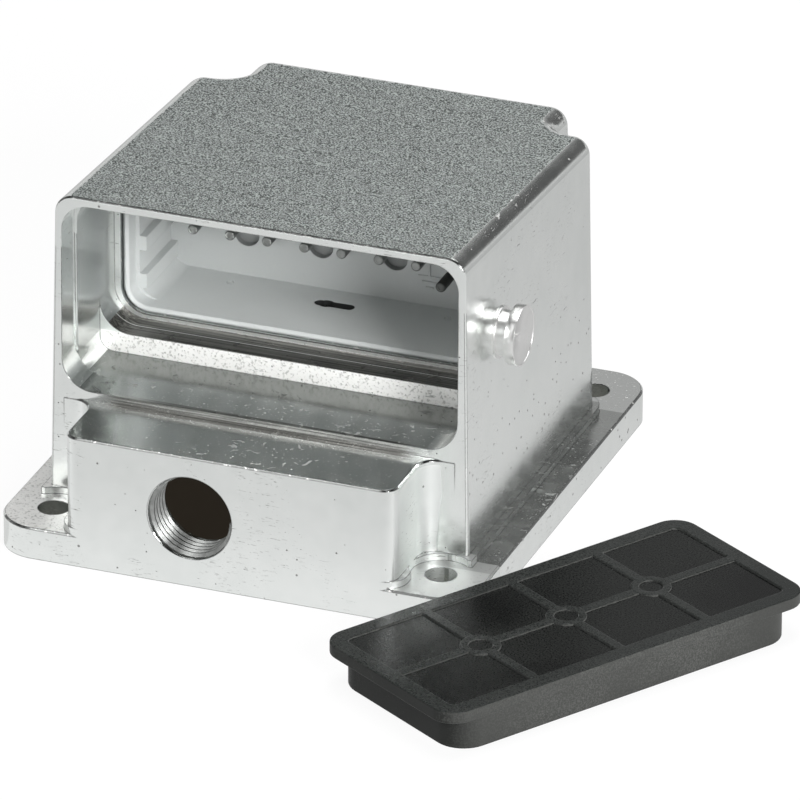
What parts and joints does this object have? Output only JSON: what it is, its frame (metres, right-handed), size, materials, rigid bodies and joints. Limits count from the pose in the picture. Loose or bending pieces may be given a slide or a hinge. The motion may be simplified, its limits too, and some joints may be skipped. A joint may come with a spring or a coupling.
{
  "type": "heavy duty rectangular connector",
  "caption": "Die-cast bulkhead housing with a horizontal rectangular mating opening, pin insert, locking pegs, threaded cable entry and a loose dust cover.",
  "frame": {"origin": "centre of the underside of the base plate, midway between the four fixing holes", "axes": "+Z out of the panel that it is fixed to, +X to the right along the mating face, +Y from the mating face to the rear"},
  "size_m": [0.16, 0.1557, 0.0711],
  "materials": {
    "cast_aluminium": "polished die casting with a fine blasted roof",
    "turned_steel": "turned and polished",
    "insert_grey": "smooth moulded light grey",
    "contact_metal": "silver plated, slightly dull",
    "zinc_steel": "zinc plated",
    "gasket_rubber": "matt rubber",
    "cover_black": "moulded black, half gloss"
  },
  "bodies": {
    "root": {"housing": "cast_aluminium", "locking_peg_left": "turned_steel", "locking_peg_right": "turned_steel", "contact_insert": "insert_grey", "terminal_block": "insert_grey", "earth_pin": "contact_metal", "earth_plate": "zinc_steel", "base_gasket": "gasket_rubber", "dust_cover": "cover_black", "contact_pin_01": "contact_metal", "contact_pin_02": "contact_metal", "contact_pin_03": "contact_metal", "contact_pin_04": "contact_metal", "contact_pin_05": "contact_metal", "contact_pin_06": "contact_metal", "contact_pin_07": "contact_metal", "contact_pin_08": "contact_metal", "contact_pin_09": "contact_metal", "contact_pin_10": "contact_metal", "contact_pin_11": "contact_metal", "contact_pin_12": "contact_metal", "contact_pin_13": "contact_metal", "contact_pin_14": "contact_metal", "contact_pin_15": "contact_metal"}
  },
  "joints": []
}
